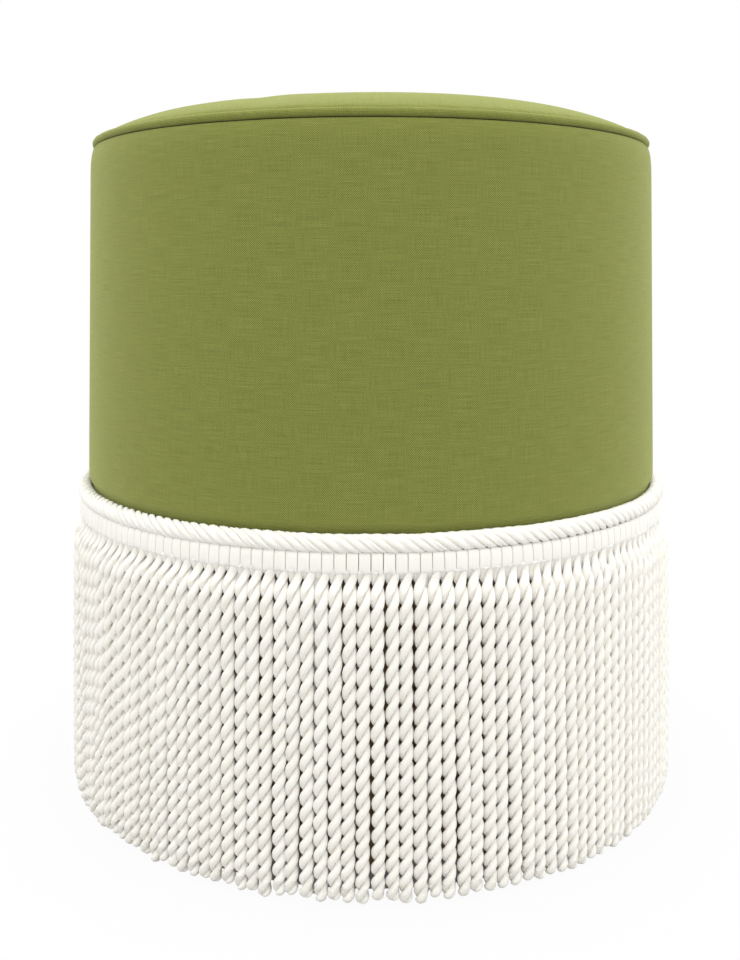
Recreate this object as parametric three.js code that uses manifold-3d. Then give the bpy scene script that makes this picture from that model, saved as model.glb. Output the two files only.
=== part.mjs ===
// A round upholstered tuffet with a domed top, piping round the rim and a long
// bullion fringe of twisted ropes. Millimetres, Z up. The origin is on the floor
// under the middle of the stool.
import * as THREE from "three";
import { mergeVertices } from "three/addons/utils/BufferGeometryUtils.js";
import Module from "manifold-3d";

const wasm = await Module();
wasm.setup();

// Driving dimensions

// Frame of plywood boards, posts and a bent skin
const board_thickness = 18;
const frame_height = 371;
const skin_radius = 179;
const skin_thickness = 8;
const post_count = 6;
const post_width = 40;
const post_depth = 25;

// Countersunk screws through the boards into the posts
const screw_length = 45;
const screw_shank_radius = 2;
const screw_head_radius = 4.2;
const screw_head_height = 2.6;
const screw_point_length = 5;
const screw_sink = 0.6;

// Nail-on glides and the cloth under the base
const glide_count = 4;
const glide_height = 11;
const glide_radius = 14;
const glide_chamfer = 2;
const glide_inset = 20;
const nail_radius = 1.5;
const nail_length = 14;
const dust_cloth_thickness = 1;
const dust_cloth_margin = 3;

// Padding and cloth
const side_wadding_thickness = 10.2;
const seat_wadding_thickness = 8;
const cloth_thickness = 1.2;
const lining_thickness = 1;

// Domed seat
const seat_edge_height = 34;
const crown_rise = 19;
const crown_power = 6;
const welt_radius = 2.5;
const welt_sink = 0.9;
const seam_turn = 2.2;

// Shape of the padded side
const rim_tuck = 3.6;
const rim_roll = 16;
const side_flare = 1.3;
const cord_pull_in = 2.8;
const cord_pull_run = 11;
const heading_squeeze = 0.8;

// Fringe: a twisted cord, a ribbed heading and the hanging ropes
const cord_height = 9.2;
const cord_depth = 8;
const heading_height = 11;
const heading_depth = 7.2;
const skirt_length = 169;
const section_count = 12;
const ropes_per_section = 16;
const rope_width = 6.4;
const rope_root_width = 4.2;
const back_rope_width = 5.6;
const back_rope_root_width = 1.8;
const rope_root_margin = 0.8;
const rope_spread_drop = 20;
const rope_tip_height = 4;
const hem_clearance = 3;
const hem_spread = 3;

// Clearances
const fit_gap = 0.3;
const overrun = 1;

// Counts for round shapes
const ring_steps = 36;
const small_ring_steps = 6;
const glide_steps = 12;
const cord_sides = 8;
const welt_sides = 6;
const crown_shares = [0, 0.5, 0.72, 0.88, 1];
const rope_tip_share = 0.55;
const hem_wave = 2.4;
// Every eighth rope slips behind the others, so the front row has room for full ropes
const back_places = [4, 11];

// Heights from the floor
const base_bottom = glide_height + dust_cloth_thickness;
const frame_top = base_bottom + frame_height;
const post_bottom = base_bottom + board_thickness;
const post_top = frame_top - board_thickness;
const crown_edge = frame_top + seat_edge_height;
const welt_centre_height = crown_edge - welt_sink - welt_radius;
const side_cover_top = welt_centre_height - welt_radius - fit_gap;
const seat_skirt_bottom = side_cover_top - seam_turn;
const heading_bottom = hem_clearance + skirt_length;
const heading_top = heading_bottom + heading_height;
const cord_centre_height = heading_top + fit_gap + cord_height / 2;
const side_cover_bottom = heading_bottom - cloth_thickness;

// Radii from the middle of the stool
const skin_inner_radius = skin_radius - skin_thickness;
const board_radius = skin_inner_radius - fit_gap;
const side_radius = skin_radius + fit_gap + side_wadding_thickness + fit_gap + cloth_thickness;
const welt_ring_radius = side_radius - welt_radius - welt_sink;
const seat_edge_radius = welt_ring_radius - welt_radius - fit_gap;
const heading_seat_radius = side_radius + side_flare - heading_squeeze;
const heading_inner_radius = heading_seat_radius + fit_gap;
const heading_outer_radius = heading_inner_radius + heading_depth;
const cord_seat_radius = side_radius + side_flare - cord_pull_in;
const cord_ring_radius = cord_seat_radius + fit_gap + cord_depth / 2;
const back_row_radius = heading_outer_radius - rope_width / 2 - fit_gap - back_rope_width / 2;
const glide_circle_radius = board_radius - glide_inset;
const post_face_radius = Math.sqrt(board_radius ** 2 - (post_width / 2) ** 2) - fit_gap;
const post_ring_radius = post_face_radius - post_depth / 2;

// Colours and finishes
const materials = {
  plywood: { color: 0xcaa877, roughness: 0.75, metalness: 0 },
  softwood: { color: 0xd9bd8c, roughness: 0.7, metalness: 0 },
  bending_ply: { color: 0xb99364, roughness: 0.8, metalness: 0 },
  screw_steel: { color: 0xb9b7ae, roughness: 0.35, metalness: 1 },
  foam: { color: 0xf1e9c6, roughness: 0.95, metalness: 0 },
  wadding: { color: 0xf5f4f0, roughness: 1, metalness: 0 },
  linen: { color: 0x8a9150, roughness: 0.85, metalness: 0 },
  lining: { color: 0x4a3c2e, roughness: 0.95, metalness: 0 },
  dust_cloth: { color: 0x24231f, roughness: 0.95, metalness: 0 },
  glide_plastic: { color: 0x3a332b, roughness: 0.5, metalness: 0 },
  cotton_cord: { color: 0xf4f1e8, roughness: 0.8, metalness: 0 },
};

const tuffet = new THREE.Group();

function add_mesh(name, geometry, finish) {
  const mesh = new THREE.Mesh(geometry, new THREE.MeshStandardMaterial(materials[finish]));
  mesh.name = name;
  tuffet.add(mesh);
  return mesh;
}

// Shared geometry helpers

function merged(geometry) {
  const bare = geometry.clone();
  bare.deleteAttribute("normal");
  bare.deleteAttribute("uv");
  return mergeVertices(bare);
}

// Turns an outline of [radius, height] points about the Z axis, with its faces outwards
function turned(outline, steps) {
  const area = outline.reduce((sum, [r, z], i) => {
    const [next_r, next_z] = outline[(i + 1) % outline.length];
    return sum + r * next_z - next_r * z;
  }, 0);
  const upward = area > 0 ? [...outline] : [...outline].reverse();
  const on_axis = upward.findIndex(([r], i) => r === 0 && upward.at(i - 1)[0] === 0);
  const points =
    on_axis < 0 ? [...upward, upward[0]] : [...upward.slice(on_axis), ...upward.slice(0, on_axis)];
  const lathe = new THREE.LatheGeometry(points.map(([r, z]) => new THREE.Vector2(r, z)), steps);
  return merged(lathe.rotateX(Math.PI / 2));
}

function solid_from(geometry) {
  const mesh = merged(geometry);
  return new wasm.Manifold(
    new wasm.Mesh({
      numProp: 3,
      vertProperties: new Float32Array(mesh.attributes.position.array),
      triVerts: new Uint32Array(mesh.index.array),
    }),
  );
}

function geometry_from(solid) {
  const mesh = solid.getMesh();
  const geometry = new THREE.BufferGeometry();
  geometry.setAttribute("position", new THREE.BufferAttribute(new Float32Array(mesh.vertProperties), 3));
  geometry.setIndex(new THREE.BufferAttribute(new Uint32Array(mesh.triVerts), 1));
  return geometry;
}

function cut(geometry, cutters) {
  const solid = cutters.reduce((left, cutter) => left.subtract(solid_from(cutter)), solid_from(geometry));
  return geometry_from(solid);
}

// A plain round disc or shank between two heights
function disc(radius, bottom, top, steps) {
  return turned([[0, bottom], [radius, bottom], [radius, top], [0, top]], steps);
}

// Angles of evenly spread copies round the stool, from a first angle
function angles(count, first = 0) {
  return Array.from({ length: count }, (_, k) => first + (k * 2 * Math.PI) / count);
}

function at_angle(geometry, radius, angle) {
  return geometry.clone().translate(radius, 0, 0).rotateZ(angle);
}

// Moves an outline to the left of its own direction by a distance
function offset_outline(outline, distance) {
  return outline.map(([r, z], i) => {
    const before = outline[Math.max(i - 1, 0)];
    const after = outline[Math.min(i + 1, outline.length - 1)];
    const into = new THREE.Vector2(r - before[0], z - before[1]).normalize();
    const out = new THREE.Vector2(after[0] - r, after[1] - z).normalize();
    const along = new THREE.Vector2().addVectors(into, out).normalize();
    const bend = Math.sqrt((1 + into.dot(out)) / 2) || 1;
    const reach = i === 0 || i === outline.length - 1 ? distance : distance / bend;
    return [r - along.y * reach, z + along.x * reach];
  });
}

// Screws and their holes

const post_angles = angles(post_count);
const glide_angles = angles(glide_count, Math.PI / glide_count);

// The head's flat face is at height zero and the point is below it
function screw_outline(clearance) {
  const head = screw_head_radius + clearance;
  const shank = screw_shank_radius + clearance;
  const neck = -screw_head_height - clearance;
  return [
    [0, 0],
    [head, 0],
    [shank, neck],
    [shank, screw_point_length - screw_length - clearance],
    [0, -screw_length - clearance],
  ];
}

// A sunk hole for a screw, open at the board's face
function screw_hole() {
  const [, head, ...shank] = screw_outline(fit_gap);
  const mouth = [head[0], screw_sink + overrun];
  return turned([[0, mouth[1]], mouth, head, ...shank], small_ring_steps);
}

// Copies of a screw or its hole over every post, sunk in the top or the base board's face
function on_top_board(shape) {
  const raised = shape.clone().translate(0, 0, frame_top - screw_sink);
  return post_angles.map((angle) => at_angle(raised, post_ring_radius, angle));
}

function on_base_board(shape) {
  const raised = shape.clone().rotateX(Math.PI).translate(0, 0, base_bottom + screw_sink);
  return post_angles.map((angle) => at_angle(raised, post_ring_radius, angle));
}

function make_screws() {
  const screw = turned(screw_outline(0), small_ring_steps);
  on_top_board(screw).forEach((copy, k) => add_mesh(`top_screw_${k + 1}`, copy, "screw_steel"));
  on_base_board(screw).forEach((copy, k) => add_mesh(`base_screw_${k + 1}`, copy, "screw_steel"));
}

// Frame

function make_boards() {
  const hole = screw_hole();
  const nail_hole = disc(
    nail_radius + fit_gap,
    base_bottom - overrun,
    base_bottom + nail_length + fit_gap,
    small_ring_steps,
  );
  const nail_holes = glide_angles.map((angle) => at_angle(nail_hole, glide_circle_radius, angle));
  const base = disc(board_radius, base_bottom, post_bottom, ring_steps);
  const top = disc(board_radius, post_top, frame_top, ring_steps);
  add_mesh("base_board", cut(base, [...on_base_board(hole), ...nail_holes]), "plywood");
  add_mesh("top_board", cut(top, on_top_board(hole)), "plywood");
}

// A post stands between the boards, with a pilot hole in each end
function make_posts() {
  const height = post_top - post_bottom;
  const reach = screw_length + screw_sink - board_thickness;
  const block = new THREE.BoxGeometry(post_depth, post_width, height);
  const pilot_radius = screw_shank_radius + fit_gap;
  const upper = disc(pilot_radius, height / 2 - reach - fit_gap, height / 2 + overrun, small_ring_steps);
  const lower = disc(pilot_radius, -height / 2 - overrun, -height / 2 + reach + fit_gap, small_ring_steps);
  const post = cut(block, [upper, lower]);
  post_angles.forEach((angle, k) => {
    const mesh = add_mesh(`post_${k + 1}`, post.clone(), "softwood");
    mesh.position.set(
      post_ring_radius * Math.cos(angle),
      post_ring_radius * Math.sin(angle),
      post_bottom + height / 2,
    );
    mesh.rotation.z = angle;
  });
}

function make_skin() {
  const wall = [
    [skin_inner_radius, base_bottom],
    [skin_radius, base_bottom],
    [skin_radius, frame_top],
    [skin_inner_radius, frame_top],
  ];
  add_mesh("side_skin", turned(wall, ring_steps), "bending_ply");
}

// Underside

function make_dust_cloth() {
  const cloth = disc(skin_radius - dust_cloth_margin, glide_height, base_bottom, ring_steps);
  const nail_hole = disc(
    nail_radius + fit_gap,
    glide_height - overrun,
    base_bottom + overrun,
    small_ring_steps,
  );
  const holes = glide_angles.map((angle) => at_angle(nail_hole, glide_circle_radius, angle));
  add_mesh("dust_cloth", cut(cloth, holes), "dust_cloth");
}

function make_glides() {
  const glide = turned(
    [
      [0, 0],
      [glide_radius - glide_chamfer, 0],
      [glide_radius, glide_chamfer],
      [glide_radius, glide_height],
      [nail_radius, glide_height],
      [nail_radius, base_bottom + nail_length],
      [0, base_bottom + nail_length],
    ],
    glide_steps,
  );
  glide_angles.forEach((angle, k) => {
    add_mesh(`glide_${k + 1}`, at_angle(glide, glide_circle_radius, angle), "glide_plastic");
  });
}

// Seat: the dome is flat in the middle and falls faster towards the rim. Every layer turns
// at the same radii, so the layers stay parallel, and each ends on the last slope.
function crown_outline(radius, below) {
  const outline = crown_shares.map((share) => {
    const drop = crown_rise * share ** crown_power;
    return [seat_edge_radius * share, crown_edge + crown_rise - drop - below];
  });
  const [last_r, last_z] = outline.pop();
  const [r, z] = outline.at(-1);
  return [...outline, [radius, z + ((last_z - z) * (radius - r)) / (last_r - r)]];
}

function make_seat() {
  const cover_outside = crown_outline(seat_edge_radius, 0);
  const cover_inner_radius = seat_edge_radius - cloth_thickness;
  const cover_inside = crown_outline(cover_inner_radius, cloth_thickness);
  const cover = [
    ...cover_outside,
    [seat_edge_radius, seat_skirt_bottom],
    [cover_inner_radius, seat_skirt_bottom],
    ...cover_inside.reverse(),
  ];
  const wadding_radius = cover_inner_radius - fit_gap;
  const wadding_depth = cloth_thickness + fit_gap;
  const wadding = [
    ...crown_outline(wadding_radius, wadding_depth),
    ...crown_outline(wadding_radius, wadding_depth + seat_wadding_thickness).reverse(),
  ];
  const foam = [
    ...crown_outline(skin_radius, wadding_depth + seat_wadding_thickness + fit_gap),
    [skin_radius, frame_top],
    [0, frame_top],
  ];
  add_mesh("top_cover", turned(cover, ring_steps), "linen");
  add_mesh("seat_wadding", turned(wadding, ring_steps), "wadding");
  add_mesh("seat_foam", turned(foam, ring_steps), "foam");
}

// A ring of round or oval section
function ring(ring_radius, height, half_depth, half_height, sides) {
  const outline = angles(sides, Math.PI / sides).map((angle) => [
    ring_radius + half_depth * Math.cos(angle),
    height + half_height * Math.sin(angle),
  ]);
  return turned(outline, ring_steps);
}

function make_welt() {
  const welt = ring(welt_ring_radius, welt_centre_height, welt_radius, welt_radius, welt_sides);
  add_mesh("welt", welt, "linen");
}

// Side: the outside of the cover, from its tuck under the welt down to the heading's foot.
// It rolls over the rim, flares a little towards the floor and is drawn in behind the cord.
function side_outline() {
  const widest = side_radius + side_flare;
  const half_cord = cord_height / 2;
  return [
    [side_radius - rim_tuck, side_cover_top],
    [side_radius - rim_tuck / 2, seat_skirt_bottom],
    [side_radius, side_cover_top - rim_roll],
    [widest, cord_centre_height + half_cord + cord_pull_run],
    [cord_seat_radius, cord_centre_height + half_cord / 2],
    [cord_seat_radius, cord_centre_height - half_cord / 2],
    [heading_seat_radius, heading_top],
    [heading_seat_radius, side_cover_bottom],
  ];
}

function make_side() {
  const outside = side_outline();
  const inside = offset_outline(outside, -cloth_thickness);
  const turn_under = skin_radius + fit_gap;
  const lower_inner = inside.at(-1)[0];
  const cover = [
    ...outside,
    [turn_under, side_cover_bottom],
    [turn_under, side_cover_bottom + cloth_thickness],
    [lower_inner, side_cover_bottom + cloth_thickness],
    ...inside.slice(0, -1).reverse(),
  ];
  const padding_outside = offset_outline(outside, -cloth_thickness - fit_gap).slice(1, -1);
  const padding_bottom = side_cover_bottom + cloth_thickness + fit_gap;
  const wadding = [
    ...padding_outside,
    [padding_outside.at(-1)[0], padding_bottom],
    [turn_under, padding_bottom],
    [turn_under, padding_outside[0][1]],
  ];
  add_mesh("side_cover", turned(cover, ring_steps), "linen");
  add_mesh("side_wadding", turned(wadding, ring_steps), "wadding");
}

// Dark lining on the drum behind the hanging ropes
function make_lining() {
  const inner = skin_radius + fit_gap;
  const top = side_cover_bottom - fit_gap;
  const wall = [
    [inner, base_bottom],
    [inner + lining_thickness, base_bottom],
    [inner + lining_thickness, top],
    [inner, top],
  ];
  add_mesh("lower_lining", turned(wall, ring_steps), "lining");
}

// Fringe

function make_fringe_cord() {
  const cord = ring(cord_ring_radius, cord_centre_height, cord_depth / 2, cord_height / 2, cord_sides);
  add_mesh("fringe_cord", cord, "cotton_cord");
}

const section_angle = (2 * Math.PI) / section_count;
const rib_angle = section_angle / ropes_per_section;

// A length of the heading, as a slice of a ring
function heading_slice(start) {
  const steps = ring_steps / section_count;
  const trim = fit_gap / 2 / heading_inner_radius;
  const stops = Array.from({ length: steps + 1 }, (_, k) => start + (section_angle * k) / steps);
  stops[0] += trim;
  stops[steps] -= trim;
  const point = (radius, angle) => new THREE.Vector2(radius * Math.cos(angle), radius * Math.sin(angle));
  const outer = stops.map((angle) => point(heading_outer_radius, angle));
  const inner = stops.map((angle) => point(heading_inner_radius, angle)).reverse();
  const slice = new THREE.ExtrudeGeometry(new THREE.Shape([...outer, ...inner]), {
    depth: heading_height,
    bevelEnabled: false,
  });
  return slice.translate(0, 0, heading_bottom);
}

// A four-sided rope through level rings, each with its angle, radius, height and width
function rope(rings) {
  const corners = [[-1, -1], [1, -1], [1, 1], [-1, 1]];
  const places = rings.flatMap(({ angle, radius, height, width }) =>
    corners.flatMap(([side, out]) => {
      const across = (side * width) / 2;
      const reach = radius + (out * width) / 2;
      return [
        reach * Math.cos(angle) - across * Math.sin(angle),
        reach * Math.sin(angle) + across * Math.cos(angle),
        height,
      ];
    }));
  const faces = [];
  rings.slice(1).forEach((_, k) => {
    for (let side = 0; side < 4; side += 1) {
      const a = 4 * k + side;
      const b = 4 * k + ((side + 1) % 4);
      faces.push(a, b, a + 4, b, b + 4, a + 4);
    }
  });
  const last = 4 * (rings.length - 1);
  faces.push(0, 2, 1, 0, 3, 2);
  faces.push(last, last + 1, last + 2, last, last + 2, last + 3);
  const geometry = new THREE.BufferGeometry();
  geometry.setAttribute("position", new THREE.Float32BufferAttribute(places, 3));
  geometry.setIndex(faces);
  return geometry;
}

// One rope of a section: it leaves its rib of the heading and hangs in the front or the back row
function hanging_rope(start, place) {
  const back = back_places.includes(place);
  const passed = back_places.filter((other) => other < place).length;
  const front_angle = section_angle / (ropes_per_section - back_places.length);
  const root_angle = start + rib_angle * (place + 1 / 2);
  const front_root = {
    radius: heading_outer_radius - rope_root_margin - rope_root_width / 2,
    width: rope_root_width,
  };
  const back_root = {
    radius: heading_inner_radius + fit_gap + back_rope_root_width / 2,
    width: back_rope_root_width,
  };
  const front = {
    angle: start + front_angle * (place - passed + 1 / 2),
    radius: heading_outer_radius,
    width: rope_width,
  };
  const behind = { angle: root_angle, radius: back_row_radius, width: back_rope_width };
  const root = back ? back_root : front_root;
  const hanging = back ? behind : front;
  const wave = (1 + Math.sin(hem_wave * place + start)) / 2;
  const tip = hem_clearance + hem_spread * wave;
  return rope([
    { ...root, angle: root_angle, height: heading_bottom + overrun },
    { ...hanging, height: heading_bottom - rope_spread_drop },
    { ...hanging, height: tip + rope_tip_height },
    { ...hanging, height: tip, width: hanging.width * rope_tip_share },
  ]);
}

function make_fringe_sections() {
  for (let k = 0; k < section_count; k += 1) {
    const start = k * section_angle;
    const places = Array.from({ length: ropes_per_section }, (_, place) => place);
    const section = places.reduce(
      (joined, place) => joined.add(solid_from(hanging_rope(start, place))),
      solid_from(heading_slice(start)),
    );
    add_mesh(`fringe_${String(k + 1).padStart(2, "0")}`, geometry_from(section), "cotton_cord");
  }
}

make_boards();
make_posts();
make_screws();
make_skin();
make_dust_cloth();
make_glides();
make_seat();
make_welt();
make_side();
make_lining();
make_fringe_cord();
make_fringe_sections();

export default tuffet;
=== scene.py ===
# %% [markdown]
# # A round tuffet with a bullion fringe
#
# The stool is a padded drum. Green linen covers its side and its domed seat, piping covers the seam
# round the rim, and an ivory fringe hangs from a twisted cord almost to the floor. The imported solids
# give the sizes and places. This notebook models the soft pieces over them and paints every piece.

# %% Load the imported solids
import math
import random

import bpy
import numpy as np
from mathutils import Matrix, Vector, noise


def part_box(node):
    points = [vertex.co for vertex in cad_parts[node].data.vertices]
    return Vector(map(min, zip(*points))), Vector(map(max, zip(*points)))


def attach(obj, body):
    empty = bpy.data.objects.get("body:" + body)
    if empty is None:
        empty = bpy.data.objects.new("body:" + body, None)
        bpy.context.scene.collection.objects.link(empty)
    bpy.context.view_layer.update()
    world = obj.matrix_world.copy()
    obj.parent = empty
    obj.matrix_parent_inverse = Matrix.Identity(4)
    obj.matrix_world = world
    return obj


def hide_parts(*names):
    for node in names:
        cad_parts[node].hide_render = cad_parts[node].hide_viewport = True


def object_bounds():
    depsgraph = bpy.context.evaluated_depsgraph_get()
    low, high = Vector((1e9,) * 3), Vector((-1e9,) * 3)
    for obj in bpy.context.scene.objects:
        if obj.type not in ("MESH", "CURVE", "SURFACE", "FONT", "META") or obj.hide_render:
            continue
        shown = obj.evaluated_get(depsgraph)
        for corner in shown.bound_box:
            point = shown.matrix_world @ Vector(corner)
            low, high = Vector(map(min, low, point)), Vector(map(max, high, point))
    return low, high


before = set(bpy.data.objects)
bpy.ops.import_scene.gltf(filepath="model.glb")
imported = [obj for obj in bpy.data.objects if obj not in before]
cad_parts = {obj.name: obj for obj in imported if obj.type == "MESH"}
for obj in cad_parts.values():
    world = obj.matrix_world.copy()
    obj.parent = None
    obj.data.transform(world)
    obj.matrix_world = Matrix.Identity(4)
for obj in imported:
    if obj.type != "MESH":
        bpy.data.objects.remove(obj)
solid_low, solid_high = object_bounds()
print("solids from", tuple(solid_low), "to", tuple(solid_high))

# %% [markdown]
# ## Measures
#
# Nearly every size comes from the solids, so that a changed part dresses itself again. What the
# solids can't tell, such as the twist of a rope, is a value of its own beside the piece that uses it.

# %% Measures from the solids
MM = 0.001
TURN = 2 * math.pi


def bottom_of(node):
    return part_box(node)[0].z


def top_of(node):
    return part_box(node)[1].z


def reach_of(node):
    """The largest radius of a round node that stands on the axis."""
    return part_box(node)[1].x


cloth_thickness = 1.2 * MM
seam_gap = 0.3 * MM
heading_height = 11 * MM

skin_radius = reach_of("side_skin")
drum_radius = skin_radius + seam_gap
frame_top = top_of("side_skin")
base_bottom = bottom_of("side_skin")

# A solid ring has a section of few sides, so its box is a little narrower than the round piece.
welt_sides = 6
cord_sides = 8
welt_radius = (top_of("welt") - bottom_of("welt")) / 2
welt_ring_radius = reach_of("welt") - welt_radius * math.cos(math.pi / welt_sides)
welt_height = top_of("welt") - welt_radius

cord_depth = 8 * MM
cord_ring_radius = reach_of("fringe_cord") - cord_depth / 2 * math.cos(math.pi / cord_sides)
cord_middle = (top_of("fringe_cord") + bottom_of("fringe_cord")) / 2
cord_height = 2 * (top_of("fringe_cord") - cord_middle) / math.cos(math.pi / cord_sides)
heading_top = top_of("fringe_01")
heading_bottom = heading_top - heading_height
hem = bottom_of("fringe_01")
skirt_reach = solid_high.x
print("piping ring", welt_ring_radius, "cord height", cord_height, "skirt reach", skirt_reach)

# %% [markdown]
# ## Camera
#
# The photograph looks at the stool from three quarters of its height, about three quarters of a metre
# from its axis. Its upright edges stay parallel, so the camera is level, and a shift of the frame
# brings the hem into view.

# %% Camera
photo_width, photo_height = 740, 960
focal_pixels = 1054
camera_distance = 0.744
camera_height = 0.328
horizon_row = 273.6
axis_column = 371

camera_data = bpy.data.cameras.new("camera")
camera_data.lens = camera_data.sensor_width * focal_pixels / photo_height
camera_data.shift_y = (horizon_row - photo_height / 2) / photo_height
camera_data.shift_x = (photo_width / 2 - axis_column) / photo_height
camera = bpy.data.objects.new("camera", camera_data)
camera.location = (0, -camera_distance, camera_height)
camera.rotation_euler = (math.pi / 2, 0, 0)
bpy.context.scene.collection.objects.link(camera)
bpy.context.scene.camera = camera
bpy.context.scene.view_settings.view_transform = "Standard"
print("lens", round(camera_data.lens, 2), "mm, shift", round(camera_data.shift_y, 4))

# %% [markdown]
# ## Shader maths
#
# A pattern such as a weave is a formula, and formulas are easier to read as sums than as a web of
# nodes. A Wire is one output socket: adding or multiplying wires adds Math nodes. A Finish is one
# material, and its node method makes any other node.

# %% Wires and finishes
class Wire:
    """An output socket that can stand in a Python sum."""

    def __init__(self, finish, socket):
        self.finish = finish
        self.socket = socket

    def __add__(self, other):
        return self.finish.math("ADD", self, other)

    def __sub__(self, other):
        return self.finish.math("SUBTRACT", self, other)

    def __rsub__(self, other):
        return self.finish.math("SUBTRACT", other, self)

    def __mul__(self, other):
        return self.finish.math("MULTIPLY", self, other)

    __radd__ = __add__
    __rmul__ = __mul__


class Finish:
    """A material with a Principled surface, and the nodes that feed it."""

    def __init__(self, name, roughness, **constants):
        self.material = bpy.data.materials.new(name)
        self.material.use_nodes = True
        self.tree = self.material.node_tree
        self.surface = self.tree.nodes["Principled BSDF"]
        self.feed(self.surface, {"Roughness": roughness, **constants})

    def feed(self, node, values):
        for name, value in values.items():
            if isinstance(value, Wire):
                self.tree.links.new(value.socket, node.inputs[name])
            else:
                node.inputs[name].default_value = value

    def node(self, kind, settings=None, values=None, output=0):
        made = self.tree.nodes.new("ShaderNode" + kind)
        for name, value in (settings or {}).items():
            setattr(made, name, value)
        self.feed(made, values or {})
        return Wire(self, made.outputs[output])

    def math(self, operation, *terms):
        return self.node("Math", {"operation": operation}, dict(enumerate(terms)))

    def clamped(self, term):
        return self.node("Math", {"operation": "ADD", "use_clamp": True}, {0: term, 1: 0})

    def waves(self, place, length):
        """A wave from -1 to 1 that repeats every length along a place."""
        return self.math("SINE", place * (TURN / length))

    def split(self, vector):
        parts = self.node("SeparateXYZ", values={0: vector}).socket.node.outputs
        return [Wire(self, part) for part in parts]

    def solid_place(self):
        """Coordinates in the object's own space, in metres."""
        return self.node("TexCoord", output="Object")

    def cloth_place(self):
        """Coordinates along the piece's own grain, in metres."""
        return self.node("UVMap", {"uv_map": "grain"})

    def stretched(self, place, sizes):
        """The same coordinates, counted in cells of the given sizes."""
        shares = tuple(1 / size for size in sizes)
        return self.node("VectorMath", {"operation": "MULTIPLY"}, {0: place, 1: shares})

    def noise(self, place, sizes, detail=2.0, roughness=0.5):
        """Soft noise from 0 to 1 with cells of about the given sizes."""
        cells = self.stretched(place, sizes)
        values = {"Vector": cells, "Scale": 1, "Detail": detail, "Roughness": roughness}
        return self.node("TexNoise", values=values)

    def mix(self, share, low, high):
        """A colour between low and high."""
        return self.node("Mix", {"data_type": "RGBA"}, {0: share, 6: low, 7: high}, output=2)

    def shaded(self, colour, strength):
        """A colour made darker or lighter by a wire around 1."""
        grey = self.node("CombineXYZ", values={0: strength, 1: strength, 2: strength})
        return self.node("VectorMath", {"operation": "MULTIPLY"}, {0: colour, 1: grey})

    def paint(self, colour):
        self.feed(self.surface, {"Base Color": colour})

    def relief(self, height, depth):
        """Bumps up to depth metres high, where height goes from 0 to 1."""
        values = {"Height": height, "Distance": depth, "Strength": 1}
        self.feed(self.surface, {"Normal": self.node("Bump", values=values)})


def colour(red, green, blue):
    """A colour from its red, green and blue on a screen, from 0 to 255."""
    def linear(value):
        share = value / 255
        return share / 12.92 if share <= 0.04045 else ((share + 0.055) / 1.055) ** 2.4
    return (linear(red), linear(green), linear(blue), 1)


# %% [markdown]
# ## Linen
#
# The cover is a plain weave of slubby yarn, about 0.6 mm from thread to thread. Over and under make
# a chequer, and thick places in the yarn make thin streaks both ways, a little stronger across. The
# grain runs level and upright on the side, in straight lines over the seat, and at 45 degrees on the
# piping, whose strip is cut on the bias, so each of the three has its own material. Threads this
# fine could be a repeated picture, but waves and noise need none and never show a repeat.

# %% Linen
linen_colour = colour(113, 119, 53)
linen_pale = colour(137, 144, 75)
thread_pitch = 0.6 * MM
thread_wander = 0.5 * MM
thread_relief = 0.12 * MM
# Sizes of the unevenness in the weave, across and along; the weave has no third side.
weft_wander_cells = (4 * MM, 1.5 * MM, 1)
warp_wander_cells = (1.5 * MM, 6 * MM, 1)
slub_cells = (20 * MM, 0.4 * MM, 1)
upright_cells = (0.4 * MM, 14 * MM, 1)
thick_cells = (40 * MM, 0.9 * MM, 1)
cloud_cells = (45 * MM, 30 * MM, 1)
# How strongly each of them lightens and darkens the cloth.
chequer_tone = 0.48
chequer_fading = 0.6
slub_tone = 0.5
upright_tone = 0.4
thick_tone = 0.1
cloud_tone = 0.02


def linen(name, from_uv, turn=0.0):
    finish = Finish(name, 0.92, **{
        "Specular IOR Level": 0.2,
        "Sheen Weight": 0.58,
        "Sheen Roughness": 0.5,
        "Sheen Tint": colour(204, 209, 146),
    })
    place = finish.cloth_place() if from_uv else finish.solid_place()
    if turn:
        place = finish.node("VectorRotate", values={"Vector": place, "Angle": turn})
    across, along, _ = finish.split(place)
    wander = finish.noise(place, weft_wander_cells) - 0.5
    lean = finish.noise(place, warp_wander_cells) - 0.5
    warp = finish.waves(across + lean * thread_wander, 2 * thread_pitch)
    weft = finish.waves(along + wander * thread_wander, 2 * thread_pitch)
    chequer = warp * weft
    slub = finish.noise(place, slub_cells, detail=1) - 0.5
    upright = finish.noise(place, upright_cells, detail=1) - 0.5
    thick = finish.clamped(finish.noise(place, thick_cells) * 5 - 3.3)
    cloud = finish.noise(place, cloud_cells) - 0.5
    tone = chequer * (chequer_tone + cloud * chequer_fading)
    tone = tone + slub * slub_tone + upright * upright_tone
    tone = tone + thick * thick_tone + cloud * cloud_tone
    pale = finish.clamped(0.25 + slub * 0.3 + thick * 0.4)
    finish.paint(finish.shaded(finish.mix(pale, linen_colour, linen_pale), 1 + tone))
    finish.relief(0.5 + chequer * 0.3 + slub * 0.2 + upright * 0.2, thread_relief)
    return finish.material


side_linen = linen("side_linen", from_uv=True)
seat_linen = linen("seat_linen", from_uv=False)
piping_linen = linen("piping_linen", from_uv=True, turn=math.pi / 4)
print("linen with", round(1 / thread_pitch), "threads to the metre")
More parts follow.
